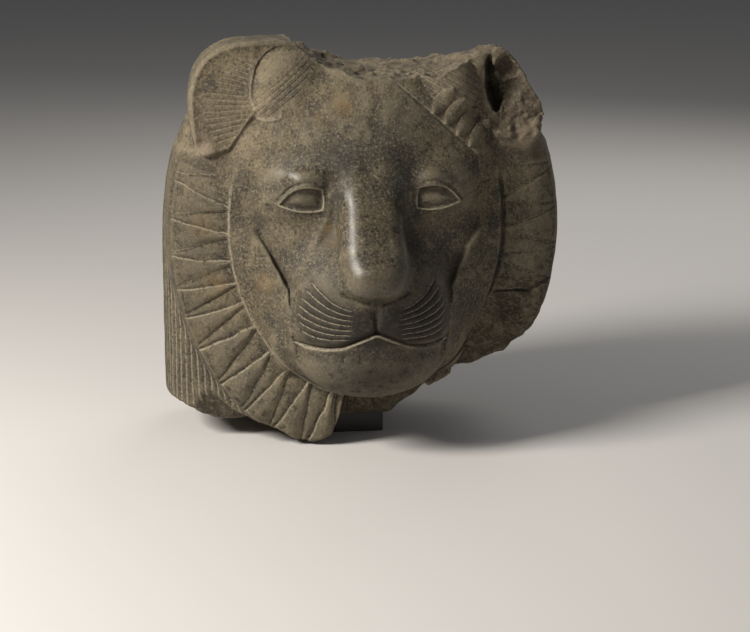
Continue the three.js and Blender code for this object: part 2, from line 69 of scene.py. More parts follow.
# Lines cut into the face, X and Z
MOUTH = np.array([(0.0, 172.0), (20.0, 163.0), (40.0, 154.0), (60.0, 150.5), (80.0, 150.0), (99.0, 153.0)])
EYE_UPPER = ((111.0, 320.0), (88.0, 352.0), (60.0, 338.0))
EYE_INNER = ((60.0, 338.0), (57.0, 326.0), (59.0, 314.0))
EYE_LOWER = ((59.0, 314.0), (82.0, 308.0), (111.0, 320.0))
LID_FOLD = ((114.0, 323.0), (89.0, 358.0), (66.0, 347.0))
TEAR_FOLD = ((50.5, 332.0), (47.0, 300.0), (73.0, 268.0))
NOSE_SLIT = ((40.0, 220.0), (26.0, 213.0), (9.0, 209.0))
HAIRLINE = ((36.0, 464.0), (74.0, 432.0), (138.0, 373.0))

# Swellings of the face: middle, radii and how softly each joins the rest
SKULL_AT, SKULL_SIZE = (0, 25, 262), (165, 92, 205)
FOREHEAD = (0, 70, 384), (170, 130, 140), 40.0
OUTER_BROW = (108, 42, 364), (78, 70, 72), 36.0
BROW = (76, -28, 352), (52, 37, 21), 17.0
EYE_HOLLOW_AT, EYE_HOLLOW_SIZE, EYE_HOLLOW_SOFT = (92, -88, 324), (50, 30, 30), 22.0
EYEBALL = (85, -32, 327), (44, 30, 32), 18.0
UPPER_LID = (75, -54, 349), (24, 18, 15), 6.0
MUZZLE_AT, MUZZLE_SIZE = np.array((0, -42, 186), np.float32), (103, 86, 94)
JAW = (98, -18, 158), (30, 34, 62), 12.0
MOUTH_CORNER = (93, -37, 143), (13, 32, 17), 6.0
NOSE_START, NOSE_END = np.array((0.0, 10.0, 390.0)), np.array((0.0, -98.0, 234.0))
NOSE_TIP_AT, NOSE_TIP_SIZE = np.array((0, -96, 238), np.float32), (42, 49, 31)
CHIN_AT, CHIN_SIZE = (0.0, -55.0, 130.0), (92.0, 70.0, 54.0)

EAR_RIM_AT, EAR_RIM_SIZE = (128.0, 24.0, 430.0), (88.0, 38.0, 84.0)
EAR_FOOT_AT, EAR_FOOT_RISE = ((204.0, 369.0), (170.0, 377.0)), (0.28, 1.45)
EAR_SWELL_AT, EAR_SWELL_SIZE, EAR_SWELL_TURN = (101.0, 26.0, 456.0), (45.0, 60.0, 55.0), 0.12
EAR_FOLD_AT, EAR_FOLD_SIZE = (157.0, -10.0, 458.0), (8.0, 32.0, 35.0)
EAR_SCOOP_AT, EAR_SCOOP_SIZE = (174.0, -28.0, 462.0), (25.0, 30.0, 40.0)
TEMPLE_AT, TEMPLE_SIZE = (180.0, 55.0, 388.0), (44.0, 46.0, 36.0)
EAR_CHIP_AT, EAR_CHIP_SIZE = (-203.0, -21.0, 386.0), (16.0, 15.0, 14.0)

# Heights of the breaks at places across the width, X then Z
TOP_BREAK = np.array([(-270, 540), (-104, 540), (-88, 512), (-69, 496), (-50, 484), (-36, 477), (0, 474),
                      (60, 472), (84, 473), (103, 482), (122, 490), (139, 498), (160, 503), (175, 500),
                      (192, 479), (214, 441), (229, 395), (245, 372), (262, 350)], float)
FRONT_BREAK = np.array([(-262, 50), (-246, 50), (-228, 66), (-209, 74), (-167, 44), (-144, 32), (-113, 22),
                        (-96, 10), (-66, 4), (-46, 14), (-36, 40), (-31, 64), (-26, 92), (60, 88), (78, 78),
                        (114, 94), (161, 96), (188, 106), (216, 136), (234, 169), (244, 195), (250, 235),
                        (262, 330)], float)
BACK_BREAK = np.array([(-262, 52), (-246, 50), (-235, 46), (-205, 36), (-175, 26), (40, 26), (78, 60),
                       (114, 84), (161, 92), (188, 104), (216, 134), (234, 166), (244, 190), (250, 232),
                       (262, 330)], float)

# The crack across the right side of the ruff, X and Z
RIGHT_CRACK = np.array([(166.0, 191.0), (190.0, 193.0), (206.0, 190.0), (220.0, 198.0), (252.0, 206.0)])


# Shape helpers: a field is below zero inside the stone and close to a distance in millimetres

def ease(low, high, v):
    t = np.clip((v - low) / (high - low), 0.0, 1.0)
    return t * t * (3.0 - 2.0 * t)


def bell(v, width):
    return np.exp(-(v / width) ** 2)


def join(a, b, soft):
    """Both bodies, with a soft valley between them."""
    h = np.clip(0.5 + 0.5 * (b - a) / soft, 0.0, 1.0)
    return b + (a - b) * h - soft * h * (1.0 - h)


def cut(a, b, soft):
    """Only what both bodies share, with a soft edge."""
    return -join(-a, -b, soft)


def along(table, v):
    return np.interp(v, table[:, 0], table[:, 1])


def egg(p, middle, radii):
    q = p - np.asarray(middle, p.dtype)
    r = np.asarray(radii, p.dtype)
    near = np.sqrt(((q / r) ** 2).sum(-1))
    rate = np.sqrt(((q / (r * r)) ** 2).sum(-1))
    return near * (near - 1.0) / np.maximum(rate, 1e-6)


def boulder(q, radii, power):
    """A rounded block about the zero point, squarer with a higher power."""
    s = [np.abs(q[..., i] / radii[i]) for i in range(3)]
    near = np.maximum(sum(v ** power for v in s), 1e-9) ** (1.0 / power)
    rate = sum((v ** (power - 1) * near ** (1 - power) / radii[i]) ** 2 for i, v in enumerate(s))
    return (near - 1.0) / np.sqrt(np.maximum(rate, 1e-9))


def swell(d, p, form):
    """A body with an egg-shaped swelling added."""
    middle, radii, soft = form
    return join(d, egg(p, middle, radii), soft)


def scatter(ix, iy, iz, seed):
    """A number from 0 to 1 for each grid point, the same on every run."""
    h = (ix.astype(np.uint32) * np.uint32(374761393) + iy.astype(np.uint32) * np.uint32(668265263)
         + iz.astype(np.uint32) * np.uint32(2147483647) + np.uint32(seed * 974711 + 12345))
    h = (h ^ (h >> np.uint32(13))) * np.uint32(1274126177)
    h = (h ^ (h >> np.uint32(16))) * np.uint32(2246822519)
    return ((h ^ (h >> np.uint32(15))) & np.uint32(0xFFFFFF)).astype(np.float32) / 16777215.0


def waves(p, size, seed):
    """Smooth random heights from -1 to 1 over cells of a size."""
    q = p / size
    i = np.floor(q)
    f = q - i
    f = f * f * (3.0 - 2.0 * f)
    i = i.astype(np.int64)
    total = 0.0
    for dx in (0, 1):
        wx = f[..., 0] if dx else 1.0 - f[..., 0]
        for dy in (0, 1):
            wy = f[..., 1] if dy else 1.0 - f[..., 1]
            for dz in (0, 1):
                wz = f[..., 2] if dz else 1.0 - f[..., 2]
                total = total + wx * wy * wz * scatter(i[..., 0] + dx, i[..., 1] + dy, i[..., 2] + dz, seed)
    return total * 2.0 - 1.0


def crags(p, size, octaves, seed):
    total, gain = 0.0, 1.0
    for octave in range(octaves):
        total = total + gain * waves(p + 31.7 * octave, size / 2.0 ** octave, seed + octave)
        gain *= 0.5
    return total


def curve(points, count):
    """Points along a quadratic curve from its three guide points."""
    t = np.linspace(0.0, 1.0, count)[:, None]
    a, b, c = (np.asarray(v, float) for v in points)
    return (1 - t) ** 2 * a + 2 * t * (1 - t) * b + t * t * c


def to_line(u, v, line):
    """Distance in a plane from (u, v) to an open line of points."""
    best = np.full(u.shape, 1e9, np.float32)
    for (au, av), (bu, bv) in zip(line[:-1], line[1:]):
        du, dv = bu - au, bv - av
        t = np.clip(((u - au) * du + (v - av) * dv) / (du * du + dv * dv + 1e-9), 0, 1)
        best = np.minimum(best, (u - au - t * du) ** 2 + (v - av - t * dv) ** 2)
    return np.sqrt(best)


def gap(x, z, line, reach=16.0):
    """Distance to a line where it is near, 99 elsewhere."""
    out = np.full(x.shape, 99.0, np.float32)
    low, high = line.min(0) - reach, line.max(0) + reach
    near = (x > low[0]) & (x < high[0]) & (z > low[1]) & (z < high[1])
    out[near] = to_line(x[near], z[near], line)
    return out


def inside(u, v, line):
    """Whether a point lies inside a closed line of points."""
    found = np.zeros(u.shape, bool)
    for (au, av), (bu, bv) in zip(line[:-1], line[1:]):
        if av != bv:
            crosses = (av > v) != (bv > v)
            found ^= crosses & (u < (bu - au) * (v - av) / (bv - av) + au)
    return found


# Wig and ruff

def fan(x, z):
    """Angle from straight down and reach about the middle of the ruff."""
    return np.arctan2(x, FAN_Z - z), np.hypot(x, z - FAN_Z)


def ellipse_reach(angle, middle_z, half, rise):
    s, c = np.sin(angle), np.cos(angle)
    dz = middle_z - FAN_Z
    a = (s / half) ** 2 + (c / rise) ** 2
    b = c * dz / rise ** 2
    e = (dz / rise) ** 2 - 1.0
    return (-b + np.sqrt(np.maximum(b * b - a * e, 0.0))) / a


def wig(p):
    q = np.empty_like(p)
    y = p[..., 1] - WIG_Y
    q[..., 0] = p[..., 0]
    q[..., 1] = np.where(y < 0, y * (WIG_BACK / WIG_FRONT), y)
    q[..., 2] = np.maximum(p[..., 2] - WIG_SIDE_Z, 0.0)
    return boulder(q, (WIG_HALF, WIG_BACK, WIG_RISE), 3.0)


def wig_girth():
    """Angle about the wig's middle and length along its outline, from front to back."""
    a = np.linspace(-np.pi / 2, np.pi / 2, 601)
    c, s = np.cos(a), np.sin(a)
    x = WIG_HALF * np.abs(c) ** (2 / 3.0)
    y = WIG_BACK * np.sign(s) * np.abs(s) ** (2 / 3.0)
    y = np.where(y < 0, y * WIG_FRONT / WIG_BACK, y)
    length = np.concatenate([[0], np.cumsum(np.hypot(np.diff(x), np.diff(y)))])
    return np.arctan2(y, x), length


GIRTH_ANGLE, GIRTH_LENGTH = wig_girth()


def strand_groove(p):
    """1 in the grooves between the wig's upright strands, 0 on the strands."""
    angle = np.arctan2(p[..., 1] - WIG_Y, np.abs(p[..., 0]))
    length = np.interp(angle, GIRTH_ANGLE, GIRTH_LENGTH)
    return 1.0 - np.abs(np.sin(np.pi * length / STRAND)) ** 0.7


def ruff(p):
    x, y, z = p[..., 0], p[..., 1], p[..., 2]
    across = np.sqrt((x / RUFF_HALF) ** 2 + ((z - RUFF_Z) / RUFF_RISE) ** 2)
    forward = 22.0 * ease(210.0, 30.0, z)
    deep = np.abs(y - RUFF_Y + forward) / RUFF_DEEP
    near = np.maximum(across ** 4 + deep ** 4, 1e-9) ** 0.25
    rate = (across ** 3 * near ** -3 / RUFF_HALF) ** 2 + (deep ** 3 * near ** -3 / RUFF_DEEP) ** 2
    d = (near - 1.0) / np.sqrt(np.maximum(rate, 1e-9))
    return cut(d, (z - RUFF_END_Z) * 0.9, 6.0)


def lock_place(x, z):
    """Share of the way from the ruff's inner border to its rim, and millimetres past a lock's edge."""
    angle, reach = fan(x, z)
    inner = ellipse_reach(angle, BORDER_Z, BORDER_HALF, BORDER_RISE)
    outer = ellipse_reach(angle, RUFF_Z, RUFF_HALF * 0.968, RUFF_RISE * 0.968)
    share = (reach - inner) / np.maximum(outer - inner, 1.0)
    uneven_width = 0.10 * np.sin(5.3 * angle + 0.6) + 0.06 * np.sin(11.0 * angle)
    number = LOCK_RATE * angle - LOCK_EASE * angle ** 3 + uneven_width
    width = reach / np.maximum(LOCK_RATE - 3.0 * LOCK_EASE * angle ** 2, 1.0)
    off = np.abs(number - np.floor(number) - 0.5)
    half = 0.05 + 0.36 * np.clip(share, 0.0, 1.0) ** 0.85
    uneven = waves(np.stack([x, z, np.zeros_like(x)], -1), 17.0, 21)
    return angle, reach, inner, outer, share, off, half, (off - half) * width + 1.3 * uneven


def lock_relief(x, z):
    """Height of the ruff's pointed locks, its border cord and its rim line."""
    angle, reach, inner, outer, share, off, half, past = lock_place(x, z)
    on = ease(0.9, -0.9, past)
    roof = 1.0 - 0.55 * np.clip(off / np.maximum(half, 0.05), 0, 1)
    between = np.clip((0.5 - off) / np.maximum(0.5 - half, 0.02), 0, 1)
    height = LOCK_HEIGHT * (on * roof + (1 - on) * 0.42 * (1.0 - between))
    height = height - 0.9 * bell(past - 1.2, 1.4)
    wear = 0.85 + 0.3 * waves(np.stack([x, z, np.zeros_like(x)], -1), 46.0, 22)
    height = height * wear * np.where(x > 0, 0.62, 1.0)
    turn = np.abs(angle)
    field = ease(-0.01, 0.03, share) * ease(1.05, 1.0, share)
    field = field * ease(RUFF_END_ANGLE + 0.02, RUFF_END_ANGLE - 0.02, turn)
    ending = ease(RUFF_END_ANGLE, RUFF_END_ANGLE - 0.1, turn)
    cord = 1.5 * bell(reach - inner, 2.3)
    rim = 1.1 * bell(reach - outer, 2.2)
    return height * field + cord * ending + rim * ending


def band(p):
    """The plain band between the cheek's edge and the ruff."""
    x, y, z = np.abs(p[..., 0]), p[..., 1], p[..., 2]
    angle, reach = fan(x, z)
    edge_angle, edge_reach = fan(BAND_EDGE[:, 0], BAND_EDGE[:, 1])
    order = np.argsort(edge_angle)
    edge = np.interp(angle, edge_angle[order], edge_reach[order])
    border = ellipse_reach(angle, BORDER_Z, BORDER_HALF, BORDER_RISE)
    wide = np.maximum(border - edge, 8.0)
    y_edge = along(EDGE_Y, z)
    y_border = -17.0 - 18.0 * ease(200.0, 80.0, z)
    front = y_edge + (y_border - y_edge) * np.clip((reach - edge) / wide, -0.3, 1.3)
    d = (front - y) / np.hypot(1.0, np.abs(y_border - y_edge) / wide)
    d = cut(d, edge - reach, 4.0 + 8.0 * ease(262.0, 300.0, z))
    d = cut(d, reach - border, 2.0)
    d = np.maximum(d, y - 60.0)
    return cut(d, (z - 372.0) * 0.8, 40.0)


# Face

EYE_LINE = np.concatenate([curve(EYE_UPPER, 11)[:-1], curve(EYE_INNER, 6)[:-1], curve(EYE_LOWER, 9)])
LID_LINE = curve(LID_FOLD, 11)
TEAR_LINE = curve(TEAR_FOLD, 9)
SLIT_LINE = curve(NOSE_SLIT, 6)
HAIR_LINE = curve(HAIRLINE, 9)


def whisker(k):
    start = np.array((75.0 + 16.0 * np.sin(np.pi * k / 8.0), 230.0 - 10.3 * k))
    end = np.array((34.0 + 8.0 * (k / 6.0) ** 3, 201.0 - 6.2 * k))
    return curve((start, (start + end) / 2 + (2.0, 0.6 * k - 9.0), end), 9)


WHISKERS = [whisker(k) for k in range(7)]


def whisker_gap(x, z):
    return np.min([gap(np.abs(x), z, line, 12.0) for line in WHISKERS], axis=0)


def eye_gap(x, z):
    """Distance to the eye's outline, below zero inside it, 99 away from it."""
    x = np.abs(x)
    d = gap(x, z, EYE_LINE)
    near = d < 90.0
    d[near] *= np.where(inside(x[near], z[near], EYE_LINE), -1.0, 1.0)
    return d


def eye_relief(x, z):
    """Sunk eye, its fine raised rim and the fold above it, as a height."""
    d = eye_gap(x, z)
    sunk = -2.3 * ease(0.4, -2.0, d) + 1.8 * ease(-2.0, -13.0, d)
    return sunk + 1.1 * bell(d - 1.6, 1.7) - 1.5 * bell(gap(np.abs(x), z, LID_LINE), 1.7)


def bridge(p):
    """The nose's long block from between the brows to its tip."""
    length = np.linalg.norm(NOSE_END - NOSE_START)
    axis = (NOSE_END - NOSE_START) / length
    normal = np.array((0.0, -axis[2], axis[1]))
    q = p - NOSE_START
    u, w = q @ axis, q @ normal
    wide = 34.0 + 8.0 * np.clip(u / length, 0, 1)
    deep = 46.0
    rounding = 26.0
    past_end = np.abs(u - length / 2) - length / 2
    over = np.stack([past_end, np.abs(p[..., 0]) - wide, np.abs(w) - deep], -1) + rounding
    out = np.sqrt((np.maximum(over, 0) ** 2).sum(-1))
    return out + np.minimum(over.max(-1), 0) - rounding


def mouth_gap(x, z):
    """Distance to the mouth's line and 1 on the lower lip's side of it."""
    x = np.abs(x)
    return gap(x, z, MOUTH, 14.0), ease(-1.0, 1.0, along(MOUTH, x) - z)


def face_body(p):
    """The face's large forms, the same on both sides."""
    m = p.copy()
    m[..., 0] = np.abs(m[..., 0])
    x, y, z = m[..., 0], p[..., 1], p[..., 2]
    d = swell(egg(p, SKULL_AT, SKULL_SIZE), p, FOREHEAD)
    d = swell(swell(d, m, OUTER_BROW), m, BROW)
    d = cut(d, -egg(m, EYE_HOLLOW_AT, EYE_HOLLOW_SIZE), EYE_HOLLOW_SOFT)
    d = swell(swell(d, m, EYEBALL), m, UPPER_LID)
    d = join(d, boulder(p - MUZZLE_AT, MUZZLE_SIZE, 2.2), 26.0)
    d = swell(swell(d, m, JAW), m, MOUTH_CORNER)
    beside_edge = bell(gap(x + 9.0, z, BAND_EDGE, 26.0), 6.5)
    d = d + 3.0 * beside_edge * ease(238.0, 212.0, z) * ease(160.0, 178.0, z) * ease(-10.0, -30.0, y)
    nose = join(bridge(p), boulder(p - NOSE_TIP_AT, NOSE_TIP_SIZE, 2.4), 18.0)
    d = join(d, nose, 10.0 + 18.0 * ease(295.0, 350.0, z))
    return join(d, egg(p, CHIN_AT, CHIN_SIZE), 6.0)


def face(p):
    """The face with its mouth, the groove over it, nostrils, tear folds, brow furrow, eyes and whiskers."""
    x, y, z = np.abs(p[..., 0]), p[..., 1], p[..., 2]
    d = face_body(p)
    front = ease(-20.0, -40.0, y)
    line, lower = mouth_gap(x, z)
    d = d + front * 6.0 * bell(line, 3.4 - 1.6 * lower) * ease(95.0, 80.0, x)
    wide = 2.6 + 6.5 * ease(180.0, 212.0, z)
    d = d + front * 3.2 * bell(x, wide) * ease(166.0, 174.0, z) * ease(222.0, 210.0, z)
    d = d + front * 2.6 * bell(gap(x, z, SLIT_LINE, 12.0), 2.2)
    d = d - front * 1.7 * bell(gap(x, z, TEAR_LINE), 4.5)
    d = d + 1.4 * bell(p[..., 0] - 8.0, 8.0) * ease(385.0, 410.0, z) * ease(-10.0, -25.0, y)
    d = d - front * eye_relief(x, z)
    return d + front * 1.5 * bell(whisker_gap(x, z), 1.7)


# Ears

def ear_swelling(x, y, z):
    c, s = np.cos(EAR_SWELL_TURN), np.sin(EAR_SWELL_TURN)
    u, w = x - EAR_SWELL_AT[0], z - EAR_SWELL_AT[2]
    return boulder(np.stack([u * c + w * s, y - EAR_SWELL_AT[1], w * c - u * s], -1), EAR_SWELL_SIZE, 2.4)


def ear_foot(x, z):
    """How far a point lies below the rounded lower end of an ear's rim."""
    (outer_x, outer_z), (inner_x, inner_z) = EAR_FOOT_AT
    outer_rise, inner_rise = EAR_FOOT_RISE
    return np.maximum(outer_z + outer_rise * (outer_x - x), inner_z + inner_rise * (inner_x - x)) - z


def ear_hair(x, y, z, side):
    """Numbers of the fine hair lines of an ear, and how strongly they show; x grows outwards."""
    swelling = ear_swelling(x, y, z)
    front = ease(30.0, 15.0, y)
    on_swelling = ease(5.0, 3.0, np.abs(swelling)) * front
    if side > 0:
        return (0.5 * x + 0.87 * z) / 7.5, on_swelling * ease(150.0, 138.0, x) * ease(425.0, 432.0, z)
    rim_edge = egg(np.stack([x, y, z], -1), EAR_RIM_AT, (88.0, 60.0, 84.0))
    foot = -ear_foot(x, z)
    on_rim = ease(5.0, 9.0, swelling) * ease(1.0, -4.0, rim_edge) * ease(4.0, 9.0, foot) * front
    low_right = ease(-26.0, -6.0, (103.0 - x) * 0.6 - (z - 457.0) * 0.8)
    rays = np.arctan2(z - 436.0, x - 50.0) / 0.055
    slanted = (0.77 * z + 0.64 * x) / 6.2
    return np.where(on_rim > 0, rays, slanted), np.maximum(on_rim, on_swelling * low_right)


def ear(p, side):
    """A flat flaring rim and a round swelling inside it, both cut with hair lines, on the side -1 or 1."""
    x, y, z = p[..., 0] * side, p[..., 1], p[..., 2]
    outline = np.stack([x - EAR_RIM_AT[0], np.zeros_like(x), z - EAR_RIM_AT[2]], -1)
    rim = cut(boulder(outline, EAR_RIM_SIZE, 2.6), ear_foot(x, z) * 0.8, 6.0)
    lip = 1.1 * bell(rim + 4.0, 2.2) * ease(30.0, 15.0, y)
    tilt = 0.07 * (x - 150.0) + 0.3 * np.maximum(138.0 - x, 0.0)
    rim = cut(rim, np.abs(y - EAR_RIM_AT[1] - tilt) - EAR_RIM_SIZE[1] - lip, 7.0)
    swelling = ear_swelling(x, y, z)
    if side < 0:
        rim = rim - 1.8 * bell(swelling - 4.0, 2.2) * ease(30.0, 15.0, y) * ease(90.0, 125.0, x)
    number, shown = ear_hair(x, y, z, side)
    groove = (0.5 + 0.5 * np.cos(2 * np.pi * number)) ** 2
    return join(rim, swelling, 3.0) + 0.7 * shown * groove


def temple_locks(x, z):
    """Leaf-shaped locks under the right ear, beside the hairline, as a height."""
    u = ((x - 86.0) * 0.74 - (z - 418.0) * 0.67) / 21.0
    v = ((x - 86.0) * 0.67 + (z - 418.0) * 0.74) * 0.72
    off = np.abs(u - np.floor(u) - 0.5)
    half = 0.46 * np.sin(3.14 * np.clip((v - 1.0) / 30.0, 0.0, 1.0)) ** 0.6
    leaf = ease(0.04, -0.04, off - half) * (1.0 - 0.5 * off / np.maximum(half, 0.05))
    return 2.4 * leaf * ease(0.0, 0.1, half) * ease(-1.05, -0.95, u) * ease(3.05, 2.95, u)


# The whole stone

def underside(p, crag):
    """Height of the broken underside, level where it sits on the post."""
    x, y = p[..., 0], p[..., 1]
    share = ease(12.0, 34.0, y)
    height = along(FRONT_BREAK, x) * (1 - share) + along(BACK_BREAK, x) * share
    left, front, _ = POST_CORNER
    outside = np.max([left - x, x - left - POST_SPAN[0], front - y, y - front - POST_SPAN[1]], axis=0)
    broken = np.maximum(height + 5.0 * crag, SEAT_Z * ease(0.0, 14.0, y))
    level = ease(15.0, 2.0, outside)
    return broken * (1 - level) + SEAT_Z * level


def break_crag(p):
    """Rough heights of the broken parts, worked out only near them."""
    x, z = p[..., 0], p[..., 2]
    near = (z > along(TOP_BREAK, x) - 40.0) | (z < 125.0)
    near = near | ((x > 90.0) & (z < 345.0)) | ((x > 145.0) & (z > 370.0))
    crag = np.zeros(x.shape, np.float32)
    crag[near] = crags(p[near], 34.0, 5, 3)
    return crag


def carved(p, crag):
    """The head as it was carved, with the worn lower right ruff and its cracks."""
    x, y, z = p[..., 0], p[..., 1], p[..., 2]
    d = join(wig(p) + 1.3 * strand_groove(p), ruff(p) - lock_relief(x, z), 4.0)
    worn = ease(95.0, 125.0, x) * ease(226.0, 210.0, z)
    chipped = 0.42 * (218.0 - z) - 14.0 + 6.0 * crag
    d = np.where(worn > 0, cut(d, chipped * worn - 60.0 * (1 - worn) - y, 4.0), d)
    d = join(d, band(p), 5.0)
    mirrored = np.stack([np.abs(x), y, z], -1)
    d = join(d, egg(mirrored, TEMPLE_AT, TEMPLE_SIZE), 10.0)
    d = join(d, ear(p, -1.0), 3.0)
    d = join(d, ear(p, 1.0), 8.0)
    at_temple = ease(272.0, 310.0, z) * ease(372.0, 345.0, z)
    at_left_ear = ease(412.0, 440.0, z) * ease(0.0, -40.0, x)
    d = join(d, face(p), 6.0 + 12.0 * at_temple + 18.0 * at_left_ear)
    front = ease(20.0, 0.0, y)
    d = d - front * temple_locks(x, z)
    d = d + front * bell(gap(x, z, HAIR_LINE) + 1.5 * waves(p, 15.0, 61), 2.0)
    angle, reach = fan(x, z)
    border = ellipse_reach(angle, BORDER_Z, BORDER_HALF, BORDER_RISE)
    d = d + front * 4.0 * bell(reach - border - 2.0, 1.9) * ease(100.0, 130.0, x) * ease(352.0, 335.0, z)
    return d + front * 4.0 * bell(gap(x, z, RIGHT_CRACK) + 0.6 * crag, 1.6)


def head(p):
    """The head as it is now, with its breaks, chips and pits."""
    p = np.array(p, np.float32)
    full_width = p.copy()
    p[..., 0] *= 1.0 - 0.03 * ease(90.0, 250.0, p[..., 0])
    x, y, z = p[..., 0], p[..., 1], p[..., 2]
    crag = break_crag(p)
    d = carved(p, crag)
    leaning = np.stack([x + 0.15 * (z - EAR_FOLD_AT[2]), y, z], -1)
    hole = join(egg(leaning, EAR_FOLD_AT, EAR_FOLD_SIZE), egg(p, EAR_SCOOP_AT, EAR_SCOOP_SIZE), 6.0)
    d = cut(d, -hole - 3.0 * waves(p, 13.0, 31), 3.0)
    d = cut(d, -egg(p, EAR_CHIP_AT, EAR_CHIP_SIZE), 1.5)
    torn = ease(150.0, 172.0, x) * ease(378.0, 396.0, z)
    d = d + torn * (4.0 * crag + 3.2 * crags(p, 11.0, 3, 51))
    d = d + 0.5 * waves(p, 24.0, 11) + 0.35 * waves(p, 9.0, 12)
    pocked_sides = 0.3 * ease(105.0, 130.0, np.abs(x))
    pocked_chin = ease(60.0, 30.0, np.hypot(x + 8.0, z - 128.0))
    pocked_brow = 0.7 * ease(24.0, 10.0, np.hypot(x - 78.0, z - 388.0))
    d = d + 1.3 * (pocked_sides + pocked_chin + pocked_brow) * ease(0.45, 0.8, waves(p, 6.5, 41))
    top = along(TOP_BREAK, x) + 7.0 * crag + 2.5 * crags(p, 11.0, 2, 52) - 4.0
    d = cut(d, (z - top) * 0.8, 2.0)
    low = np.where(egg(p, CHIN_AT, CHIN_SIZE) < 6.0, -999.0, underside(full_width, crag))
    return cut(d, (low - z) * 0.7, 2.5)


# The stone as a mesh

def surface_net(field, low, high, cell, block):
    """Quads of the zero surface of a field, with one corner in each cell that it passes through."""
    low, high = np.asarray(low, float), np.asarray(high, float)
    size = cell * block
    count = np.ceil((high - low) / size).astype(int)
    corners = np.array([(a, b, c) for a in (0, 1) for b in (0, 1) for c in (0, 1)])
    lattice = np.stack(np.meshgrid(*[np.arange(n + 1) for n in count], indexing="ij"), -1)
    coarse = field(low + lattice.reshape(-1, 3) * size).reshape(lattice.shape[:3])
    ends = np.stack([coarse[a:a + count[0], b:b + count[1], c:c + count[2]] for a, b, c in corners], -1)
    live = np.argwhere((ends.min(-1) < 0.6 * size) & (ends.max(-1) > -0.6 * size))
    steps = np.arange(block + 1)
    local = np.stack(np.meshgrid(steps, steps, steps, indexing="ij"), -1)
    dims = count * block + 2
    stride = np.array([dims[1] * dims[2], dims[2], 1])
    pairs = [(i, j) for i in range(8) for j in range(i + 1, 8) if np.abs(corners[i] - corners[j]).sum() == 1]
    names, places, crossings = [], [], []
    for chunk in np.array_split(live, max(1, len(live) // 4000)):
        ijk = chunk[:, None, None, None, :] * block + local[None]
        value = field((low + ijk * cell).reshape(-1, 3)).reshape(ijk.shape[:-1])
        within = value < 0
        ends = np.stack([value[:, a:a + block, b:b + block, c:c + block] for a, b, c in corners], -1)
        full = (ends < 0).sum(-1)
        passed = (full > 0) & (full < 8)
        base = ijk[:, :block, :block, :block][passed]
        ends = ends[passed]
        total = np.zeros((len(base), 3))
        number = np.zeros(len(base))
        for i, j in pairs:
            cross = (ends[:, i] < 0) != (ends[:, j] < 0)
            share = ends[cross, i] / (ends[cross, i] - ends[cross, j])
            total[cross] += corners[i] + share[:, None] * (corners[j] - corners[i])
            number[cross] += 1
        places.append(low + (base + total / number[:, None]) * cell)
        names.append(base @ stride)
        for axis in range(3):
            here = within[:, :block, :block, :block]
            there = np.take(within, np.arange(block) + 1, axis=axis + 1)
            there = there[tuple(slice(None) if a in (0, axis + 1) else slice(0, block) for a in range(4))]
            change = here != there
            crossings.append((axis, ijk[:, :block, :block, :block][change], here[change]))
    names = np.concatenate(names)
    order = np.argsort(names)
    names, places = names[order], np.concatenate(places)[order]
    quads = []
    for axis, base, first_inside in crossings:
        u, w = np.eye(3, dtype=int)[(axis + 1) % 3], np.eye(3, dtype=int)[(axis + 2) % 3]
        ring = np.stack([base - u - w, base - w, base, base - u], 1) @ stride
        at = np.minimum(np.searchsorted(names, ring), len(names) - 1)
        known = (names[at] == ring).all(1)
        quad = at[known]
        turned = ~first_inside[known]
        quad[turned] = quad[turned][:, ::-1]
        quads.append(quad)
    return places, np.concatenate(quads)


def slope(field, places, step):
    axes = np.eye(3) * step
    return np.stack([field(places + a) - field(places - a) for a in axes], -1) / (2 * step)


def settle(field, places, cell):
    """Moves points onto the zero surface of a field."""
    normal = slope(field, places, cell * 0.25)
    move = field(places)[:, None] * normal / np.maximum((normal ** 2).sum(-1, keepdims=True), 0.05)
    far = np.linalg.norm(move, axis=1, keepdims=True)
    return places - move * np.minimum(1.0, 0.6 * cell / np.maximum(far, 1e-9))


def mesh_object(name, places, faces):
    mesh = bpy.data.meshes.new(name)
    mesh.from_pydata((places / 1000.0 + SHIFT).tolist(), [], faces.tolist())
    mesh.update()
    piece = bpy.data.objects.new(name, mesh)
    bpy.context.scene.collection.objects.link(piece)
    return piece


def thin_out(piece, triangles):
    """Fewer triangles, keeping them where the surface bends most."""
    thin = piece.modifiers.new("thin", "DECIMATE")
    thin.use_collapse_triangulate = True
    thin.ratio = min(1.0, triangles / (2.0 * len(piece.data.polygons)))
    bpy.context.view_layer.update()
    thinned = bpy.data.meshes.new_from_object(piece.evaluated_get(bpy.context.evaluated_depsgraph_get()))
    piece.modifiers.clear()
    old = piece.data
    piece.data = thinned
    bpy.data.meshes.remove(old)
    thinned.shade_smooth()


def put_corners(piece, places):
    flat = (places / 1000.0 + SHIFT).astype(np.float32).ravel()
    piece.data.vertices.foreach_set("co", flat)
    piece.data.update()


def positions(piece):
    flat = np.zeros(len(piece.data.vertices) * 3, np.float32)
    piece.data.vertices.foreach_get("co", flat)
    return (flat.reshape(-1, 3) - SHIFT) * 1000.0


def paint(piece, name, values):
    layer = piece.data.attributes.new(name, "FLOAT", "POINT")
    layer.data.foreach_set("value", np.asarray(values, np.float32))


def edge_ends(piece):
    ends = np.zeros(len(piece.data.edges) * 2, np.int32)
    piece.data.edges.foreach_get("vertices", ends)
    return ends.reshape(-1, 2).T


def around(values, a, b):
    """Mean of the values at the corners next to each corner."""
    count = len(values)
    number = np.bincount(a, minlength=count) + np.bincount(b, minlength=count)
    sums = [np.bincount(a, values[b, i], count) + np.bincount(b, values[a, i], count) for i in range(3)]
    return np.stack(sums, 1) / number[:, None]


